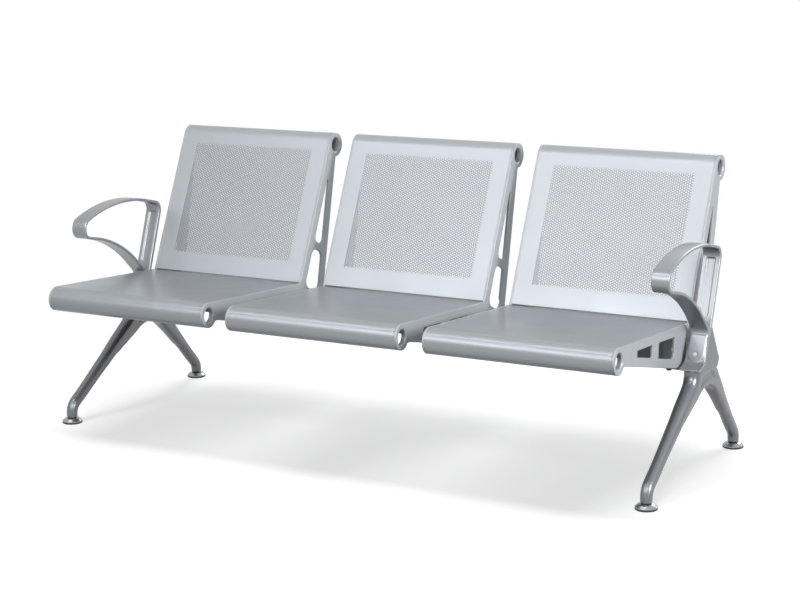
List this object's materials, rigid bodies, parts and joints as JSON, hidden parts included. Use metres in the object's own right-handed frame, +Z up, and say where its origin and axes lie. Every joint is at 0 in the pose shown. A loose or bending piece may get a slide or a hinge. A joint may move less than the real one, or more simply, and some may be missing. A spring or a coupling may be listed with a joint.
{
  "type": "beam seating",
  "caption": "Silver metal waiting-room bench: perforated rolled-edge seats and backs on cast side rails, one steel beam, splayed cast legs with levelling feet, and looped end armrests.",
  "frame": {"origin": "on the floor under the middle of the overall box", "axes": "+X along the bench, to the right as seen from the front; -Y towards the front, where the sitter faces; +Z up"},
  "size_m": [1.828, 0.771, 0.8008],
  "materials": {
    "sheet_paint": "satin",
    "casting_paint": "satin",
    "beam_paint": "satin",
    "bolt_steel": "satin",
    "bolt_black": "satin",
    "foot_chrome": "satin",
    "foot_rubber": "matte"
  },
  "bodies": {
    "frame": {"beam": "beam_paint", "seat_panel_1": "sheet_paint", "back_panel_1": "sheet_paint", "seat_rail_1_left": "casting_paint", "back_rail_1_left": "casting_paint", "seat_rail_1_right": "casting_paint", "back_rail_1_right": "casting_paint", "clamp_plates_1": "casting_paint", "clamp_bolts_1": "bolt_black", "joint_bolts_1": "bolt_steel", "seat_screws_1": "bolt_steel", "back_screws_1": "bolt_steel", "seat_panel_2": "sheet_paint", "back_panel_2": "sheet_paint", "seat_rail_2_left": "casting_paint", "back_rail_2_left": "casting_paint", "seat_rail_2_right": "casting_paint", "back_rail_2_right": "casting_paint", "clamp_plates_2": "casting_paint", "clamp_bolts_2": "bolt_black", "joint_bolts_2": "bolt_steel", "seat_screws_2": "bolt_steel", "back_screws_2": "bolt_steel", "seat_panel_3": "sheet_paint", "back_panel_3": "sheet_paint", "seat_rail_3_left": "casting_paint", "back_rail_3_left": "casting_paint", "seat_rail_3_right": "casting_paint", "back_rail_3_right": "casting_paint", "clamp_plates_3": "casting_paint", "clamp_bolts_3": "bolt_black", "joint_bolts_3": "bolt_steel", "seat_screws_3": "bolt_steel", "back_screws_3": "bolt_steel", "leg_left": "casting_paint", "leg_bolts_left": "bolt_steel", "armrest_left": "casting_paint", "armrest_screw_left": "bolt_steel", "leg_right": "casting_paint", "leg_bolts_right": "bolt_steel", "armrest_right": "casting_paint", "armrest_screw_right": "bolt_steel"},
    "foot_front_left": {"glide_front_left": "foot_chrome", "glide_pad_front_left": "foot_rubber"},
    "foot_rear_left": {"glide_rear_left": "foot_chrome", "glide_pad_rear_left": "foot_rubber"},
    "foot_front_right": {"glide_front_right": "foot_chrome", "glide_pad_front_right": "foot_rubber"},
    "foot_rear_right": {"glide_rear_right": "foot_chrome", "glide_pad_rear_right": "foot_rubber"}
  },
  "joints": [
    {"name": "level_front_left", "type": "slide", "parent": "frame", "child": "foot_front_left", "axis": [0, 0, -1], "range_m": [0, 0.012]},
    {"name": "level_rear_left", "type": "slide", "parent": "frame", "child": "foot_rear_left", "axis": [0, 0, -1], "range_m": [0, 0.012]},
    {"name": "level_front_right", "type": "slide", "parent": "frame", "child": "foot_front_right", "axis": [0, 0, -1], "range_m": [0, 0.012]},
    {"name": "level_rear_right", "type": "slide", "parent": "frame", "child": "foot_rear_right", "axis": [0, 0, -1], "range_m": [0, 0.012]}
  ]
}
